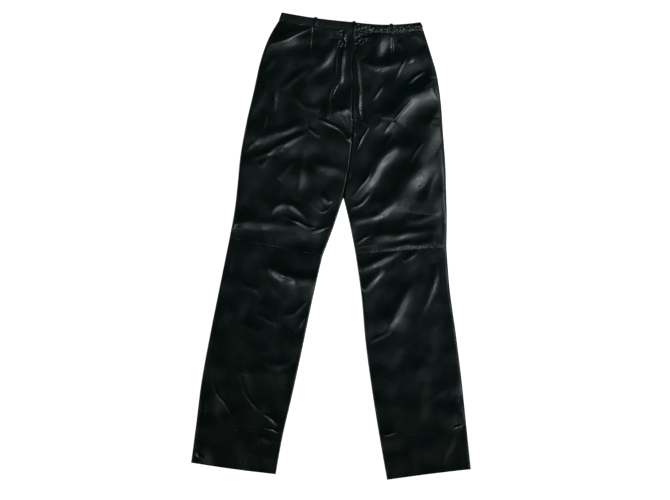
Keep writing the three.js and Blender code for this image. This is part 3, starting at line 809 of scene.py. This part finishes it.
def steepness(grid, height):
    """How much longer a sheet is, measured straight down, than its own thickness."""
    steps = [np.hypot(*(np.gradient(grid[key], axis=axis) for key in "xy")) for axis in (0, 1)]
    slopes = [np.gradient(height, axis=axis) / steps[axis] for axis in (0, 1)]
    return np.minimum(1.6, np.sqrt(1 + slopes[0] ** 2 + slopes[1] ** 2))


sheets = {}  # for each node, its piece, the width, length and area that it was cut to, and what it lies on
surfaces = {}  # for each back panel, its piece, its plan and the points of its outside
for half, half_side in (("left", -1), ("right", 1)):
    for level in ("upper", "lower"):
        cells = plan(half_side, level, FINE)
        top = back_height(cells, level, half_side)
        bottom = np.maximum(BACK_REST + CLEAR, top - SHELL * steepness(cells, top))
        bottom = np.minimum(bottom, top - 0.15)
        outside = layer(cells, top)
        back = shell(f"leather_back_{level}_{half}", outside, layer(cells, bottom), half_side < 0)
        finish_piece(back, NAPPA)
        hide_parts(f"back_{level}_{half}")
        sheets[f"back_{level}_{half}"] = (back, cut_of(outside), f"leather_front_{level}_{half}")
        surfaces[f"back_{level}_{half}"] = (back, cells, outside)

        cells = plan(half_side, level, COARSE)
        room = 0.3 * air(cells)
        lift = np.clip(0.9 * waves(cells["x"], cells["y"], 55, 21) - 0.35, 0, 1) * np.minimum(room, 2)
        edge = lip(cells)
        outside = layer(cells, lift + edge)
        top = LEATHER - CLEAR + lift - 0.1 * edge
        front = shell(f"leather_front_{level}_{half}", outside, layer(cells, top), half_side > 0, 1)
        finish_piece(front, NAPPA)
        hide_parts(f"front_{level}_{half}")
        sheets[f"front_{level}_{half}"] = (front, cut_of(outside), "floor")

# Waistband


def waist_point(side, along, up):
    """A point of the waistband in the plan: along from the middle to the side, up from the waist seam."""
    rows = half_rows(side)
    width, tilt, bow = (rows[key][0] for key in ("width", "tilt", "bow"))
    share = along / width
    angle = math.radians(tilt)
    x = rows["x"][0] + side * along * math.cos(angle) - side * BAND_LEAN * share**2 * up / BAND_HEIGHT
    y = rows["y"][0] + along * math.sin(angle) + bow * np.sin(np.pi * share) + SEAM_GAP + up
    return x, y


def band_run(side):
    """Stations of a waistband half: along, height over the ground, and the direction that its face looks."""
    radius = BAND_TOP / 2
    reach = half_rows(side)["width"][0] - radius
    flat = even_steps(reach, BAND_STEP)
    flat = flat[flat < reach - 0.5]
    turn = np.linspace(math.pi / 2, -math.pi / 2, 13)
    along = np.concatenate([flat, reach + radius * np.cos(turn), flat[::-1]])
    height = np.concatenate([0 * flat + BAND_TOP, radius * (1 + np.sin(turn)), 0 * flat])
    face = np.concatenate([0 * flat + math.pi / 2, turn, 0 * flat - math.pi / 2])
    run = np.concatenate([[0], np.cumsum(np.hypot(np.diff(along), np.diff(height)))])
    return along, height, face, run


def waistband(side):
    """One half of the waistband, folded leather with a crinkled face, from the centre back to the front."""
    up = even_steps(BAND_HEIGHT, 0.8)
    along, height, face, run = (np.broadcast_to(v[:, None], (len(v), len(up))) for v in band_run(side))
    up = np.broadcast_to(up, along.shape)
    edge = np.minimum(np.minimum(up, BAND_HEIGHT - up), np.minimum(run, run.max() - run))
    inside = np.clip(1 - edge / LIP, 0, 1)
    turned = LIP * (1 - np.sqrt(1 - inside**2)) * 0.9
    behind = np.clip((run - along.max()) / 20, 0, 1)
    half = "left" if side < 0 else "right"
    strength = BAND_CRINKLE[half] * (1 - 0.6 * behind)
    calm = np.clip((edge - 0.8) / 2.2, 0, 1)
    seams = np.exp(-(((up - 2.4) / 0.6) ** 2)) + np.exp(-(((BAND_HEIGHT - up - 2) / 0.6) ** 2))
    face_form = lumps(run, up, 3.2, 31 + side) + crinkles(run, up, 4.2, 41 + side)
    crown = BAND_CROWN[half] * np.sin(np.pi * up / BAND_HEIGHT) * (1 - behind)
    out = strength * calm * face_form + crown - turned - 0.3 * seams
    out = np.maximum(out, 0.3 - BAND_WALL)
    out = np.where(face < 0, np.minimum(out, height / np.maximum(0.001, -np.sin(face))), out)
    x, y = waist_point(side, along + out * np.cos(face), up)
    outside = np.stack([x, y, height + out * np.sin(face)], -1)
    depth = BAND_WALL - 0.9 * turned
    x, y = waist_point(side, along - depth * np.cos(face), up)
    inner = np.stack([x, y, height - depth * np.sin(face)], -1)
    return outside, inner


for half, half_side in (("left", -1), ("right", 1)):
    outside, inner = waistband(half_side)
    band = shell(f"leather_waistband_{half}", outside, inner, half_side < 0, 2)
    finish_piece(band, CRINKLED)
    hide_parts(f"waistband_{half}")
    sheets[f"waistband_{half}"] = (band, cut_of(outside), "floor")
    surfaces[f"waistband_{half}"] = (band, None, outside)

# Stitches

STITCH = table("share wide high", (0, 0.2, -0.45), (0.14, 0.85, 0), (0.5, 1, 0.25), (0.86, 0.85, 0), (1, 0.2, -0.45))


def stitch(start, end, up, radius=0.33):
    """One stitch: a thread that comes out of the leather and goes back in."""
    start, end, up = (np.asarray(v, float) for v in (start, end, up))
    across = np.cross(up, end - start)
    across = across / np.linalg.norm(across)
    turn = np.linspace(0, 2 * math.pi, 7)[:-1]
    rings = []
    for share, wide, high in zip(*STITCH.values()):
        middle = start + share * (end - start) + high * up
        ring = np.cos(turn)[:, None] * across + np.sin(turn)[:, None] * up
        rings.append(middle + radius * wide * ring)
    return np.array(rings)


def stitch_line(points, ups, length=3, gap=1.1, radius=0.33):
    """Stitches along a line of points."""
    run = np.concatenate([[0], np.cumsum(np.linalg.norm(np.diff(points, axis=0), axis=1))])
    count = int(run[-1] // (length + gap))
    starts = (np.arange(count) + 0.5) * run[-1] / count - length / 2

    def at(places, values):
        return np.stack([np.interp(places, run, values[:, k]) for k in range(3)], 1)

    made = zip(at(starts, points), at(starts + length, points), at(starts + length / 2, ups))
    return [stitch(a, b, up, radius) for a, b, up in made]


class Ground:
    """The top of some pieces, for what is sewn on them."""

    def __init__(self, *pieces):
        depsgraph = bpy.context.evaluated_depsgraph_get()
        self.trees = [BVHTree.FromObject(piece, depsgraph) for piece in pieces]

    def drop(self, x, y):
        """The highest point under each place of the plan, and the direction in which the surface looks."""
        found = []
        for place in zip(x, y):
            start = Vector(to_world([(*place, 100)])[0])
            hits = [tree.ray_cast(start, Vector((0, 0, -1))) for tree in self.trees]
            point, normal = max(((hit[0], hit[1]) for hit in hits if hit[0]), key=lambda hit: hit[0].z)
            found.append((*place, point.z / MM, *(normal if normal.z > 0 else -normal)))
        found = np.array(found)
        return found[:, :3], found[:, 3:]


bpy.context.view_layer.update()
threads = {}
for half, half_side in (("left", -1), ("right", 1)):
    lower, cells, _ = surfaces[f"back_lower_{half}"]
    row = np.argmin(np.abs(cells["top"][:, 0] - 2.4))
    chosen = (cells["inner"][row] > 4) & (cells["side"][row] > 4)
    found = Ground(lower).drop(cells["x"][row][chosen], cells["y"][row][chosen])
    threads[f"knee_{half}"] = stitch_line(*found)

    band = surfaces[f"waistband_{half}"][0]
    reach = half_rows(half_side)["width"][0] - 6
    ground = Ground(band)
    for level, up in (("lower", 2.4), ("upper", BAND_HEIGHT - 2)):
        along = np.linspace(3, reach, 160)
        found = ground.drop(*waist_point(half_side, along, up + 0 * along))
        threads[f"band_{level}_{half}"] = stitch_line(*found, length=2.6, gap=0.9, radius=0.28)

# Belt loops

LOOP_CORNER = 0.7


def loop_section():
    """The outline of a strap: across and out, with rounded corners and a shallow row of stitching at each side."""
    half, thick = LOOP_WIDTH / 2, LOOP_WALL / 2
    turn = np.linspace(0, math.pi / 2, 5)
    corner = np.stack([half - LOOP_CORNER + LOOP_CORNER * np.sin(turn), thick - LOOP_CORNER + LOOP_CORNER * np.cos(turn)], 1)
    face = np.linspace(-half + LOOP_CORNER, half - LOOP_CORNER, 18)[1:-1]
    groove = 0.22 * np.exp(-(((np.abs(face) - 2.5) / 0.35) ** 2))
    crown = 0.12 * (1 - (face / half) ** 2)
    top = np.stack([face, thick + crown - groove], 1)
    right = np.concatenate([corner, (corner * (1, -1))[::-1]])
    left = np.concatenate([(corner * (-1, -1)), (corner * (-1, 1))[::-1]])
    return np.concatenate([top, right, left])


def belt_loop(side, along, ground):
    """Rings of a strap along its path, and its middle line with the direction in which it looks."""
    path = np.array(LOOP_PATH, float)
    below = path[:, 0] <= 0
    x, y = waist_point(side, along + 0 * path[:, 0], path[:, 0])
    base = np.where(below, 0, BAND_TOP)
    base[below] = ground.drop(x[below], y[below])[0][:, 2]
    place = np.linspace(0, len(path) - 1, 70)
    up = smooth_run(path[:, 0], place)
    height = smooth_run(path[:, 1] + base, place)
    run_up, run_height = np.gradient(up), np.gradient(height)
    length = np.hypot(run_up, run_height)
    out_up, out_height = run_height / length, -run_up / length
    section = loop_section()
    rings = []
    for i in range(len(place)):
        x, y = waist_point(side, along + section[:, 0], up[i] + out_up[i] * section[:, 1])
        rings.append(np.stack([x, y, height[i] + out_height[i] * section[:, 1]], 1))
    return np.array(rings), up, np.stack([0 * up, out_up, out_height], 1)


for name, (loop_side, along) in LOOPS.items():
    ground = Ground(*(surfaces[f"back_upper_{half}"][0] for half in ("left", "right")))
    rings, up, ups = belt_loop(loop_side, along, ground)
    loop = tubes(f"leather_belt_loop_{name}", [rings[::-1]])
    finish_piece(loop, NAPPA)
    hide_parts(f"belt_loop_{name}")
    middle = rings[:, :16].mean(1)
    right_way = rings[:, 15] - rings[:, 0]
    right_way /= np.linalg.norm(right_way, axis=1)[:, None]
    sewn = (up < 18) & (up > -3)
    rows = [middle + 2.5 * sign * right_way + 0 * ups for sign in (-1, 1)]
    threads[f"loop_{name}"] = [s for row in rows for s in stitch_line(row[sewn], ups[sewn], 2, 0.8, 0.24)]
    for tack_up in (19.3, -3.4):
        i = np.argmin(np.abs(up - tack_up) + 10 * (ups[:, 2] < 0.5))
        for k in range(5):
            centre = middle[i] + np.array((0, 0.5 * (k - 2), 0)) + 0.12 * ups[i]
            threads[f"loop_{name}"].append(stitch(centre - 2.8 * right_way[i], centre + 2.8 * right_way[i], ups[i], 0.26))

for name, stitches in threads.items():
    finish_piece(tubes(f"thread_{name}", stitches), THREAD)

# Zip, closed, on the inside of the fronts


def box_rings(x, y, z, size):
    """The rings of a small block with softened corners: its middle, and its size in x, y and z."""
    half_x, half_y, half_z = (v / 2 for v in size)
    turn = np.linspace(0, 2 * math.pi, 13)[:-1] + math.pi / 12
    rings = []
    for share, small in ((-1, 0.8), (-0.8, 1), (0.8, 1), (1, 0.8)):
        across = np.sign(np.cos(turn)) * np.abs(np.cos(turn)) ** 0.45 * half_x * small
        upward = np.sign(np.sin(turn)) * np.abs(np.sin(turn)) ** 0.45 * half_z * small
        rings.append(np.stack([x + across, y + share * half_y + 0 * across, z + upward], 1))
    return np.array(rings)


zip_x, zip_top = BODY["x"][0], BODY["y"][0] - ZIP_TOP
zip_z = BACK_REST + ZIP_TAPE_WALL / 2
tapes = [
    box_rings(zip_x + zip_side * (ZIP_TAPE_WIDTH / 4 + 0.2), zip_top - ZIP_LENGTH / 2, zip_z,
              (ZIP_TAPE_WIDTH / 2 - 0.4, ZIP_LENGTH, ZIP_TAPE_WALL))
    for zip_side in (-1, 1)
]
tape = finish_piece(tubes("zip_tape", tapes), tape_material())
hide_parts("fly_zip")
teeth = [
    box_rings(zip_x + 0.55 * (-1) ** i, zip_top - 6 - ZIP_TOOTH_STEP * i, zip_z + 0.2, (ZIP_CHAIN_WIDTH - 1.1, 0.85, 0.8))
    for i in range(int((ZIP_LENGTH - 12) / ZIP_TOOTH_STEP))
]
finish_piece(tubes("zip_teeth", teeth), METAL)
slider = [
    box_rings(zip_x, zip_top - 5, zip_z + 0.65, (8, 9, 1.3)),
    box_rings(zip_x, zip_top - 4, zip_z + 1.35, (2, 4, 0.6)),
]
finish_piece(tubes("zip_slider", slider), METAL)

for node, (piece, (width, length, area), under) in sheets.items():
    level, _, half = node.partition("_lower_")
    if node.startswith("waistband"):
        half = node.split("_")[1]

# Floor, light and camera

FLOOR = 2.6
floor = make_mesh(
    "floor",
    np.array([(-1, -1, 0), (1, -1, 0), (1, 1, 0), (-1, 1, 0)]) * (FLOOR / MM, FLOOR / MM, 1) - (0, 0, 0.4),
    [(0, 1, 2, 3)],
)
floor.data.materials.append(floor_material())


def softbox(name, place, aim, size, power, spread=180):
    """A round light of a cool white."""
    light = bpy.data.lights.new(name, "AREA")
    light.shape = "DISK"
    light.size = size
    light.energy = power
    light.color = (0.86, 0.97, 1)
    light.spread = math.radians(spread)
    made = bpy.data.objects.new(name, light)
    made.location = place
    made.rotation_euler = (Vector(place) - Vector(aim)).to_track_quat("Z", "Y").to_euler()
    bpy.context.scene.collection.objects.link(made)


LIGHT_TILT = math.radians(34)  # from straight down
LIGHT_AWAY = 12
# where each stands, and the middle of the ground that it lights, whose soft edge crosses the lower legs
LIGHTS = table(
    "turn power lit_x lit_y",
    (-10, 1.85, 0.63, 0.83),
    (-37, 2.1, 0.63, 0.83),
    (-66, 1.6, 0.63, 0.83),
    (-127, 1.15, 0.63, 0.83),
    (-150, 2.0, -1.05, -1.25),
)
for turn, power, lit_x, lit_y in zip(*LIGHTS.values()):
    level = math.sin(LIGHT_TILT)
    angle = math.radians(turn)
    lit = np.array((lit_x, lit_y, 0))
    to_light = np.array((level * math.cos(angle), level * math.sin(angle), math.cos(LIGHT_TILT)))
    softbox(f"light at {turn:.0f}", lit + to_light * LIGHT_AWAY, lit, 2.4, power, 7)
softbox("fill from the left", (-1.9, 0.6, 1.5), (0, 0, 0), 1.8, 0.5)

world = bpy.data.worlds.new("world")
bpy.context.scene.world = world
world.use_nodes = True
dim = world.node_tree.nodes["Background"]
dim.inputs["Color"].default_value = (0.6, 1, 0.95, 1)
dim.inputs["Strength"].default_value = 0.015
pale = world.node_tree.nodes.new("ShaderNodeBackground")
pale.inputs["Strength"].default_value = 0.9
seen = world.node_tree.nodes.new("ShaderNodeLightPath")
choice = world.node_tree.nodes.new("ShaderNodeMixShader")
world.node_tree.links.new(seen.outputs["Is Camera Ray"], choice.inputs[0])
world.node_tree.links.new(dim.outputs[0], choice.inputs[1])
world.node_tree.links.new(pale.outputs[0], choice.inputs[2])
world.node_tree.links.new(choice.outputs[0], world.node_tree.nodes["World Output"].inputs["Surface"])
bpy.context.scene.view_settings.view_transform = "Standard"

PHOTO_WIDTH = 1541 * MM  # what the photograph's width covers on the surface
PHOTO_MIDDLE = (9.3 * MM, -9.1 * MM)
LENS = 270
SENSOR = 36
camera = bpy.data.objects.new("camera", bpy.data.cameras.new("camera"))
camera.data.lens = LENS
camera.data.sensor_width = SENSOR
camera.location = (*PHOTO_MIDDLE, PHOTO_WIDTH * LENS / SENSOR + 3 * MM)
bpy.context.scene.collection.objects.link(camera)
bpy.context.scene.camera = camera
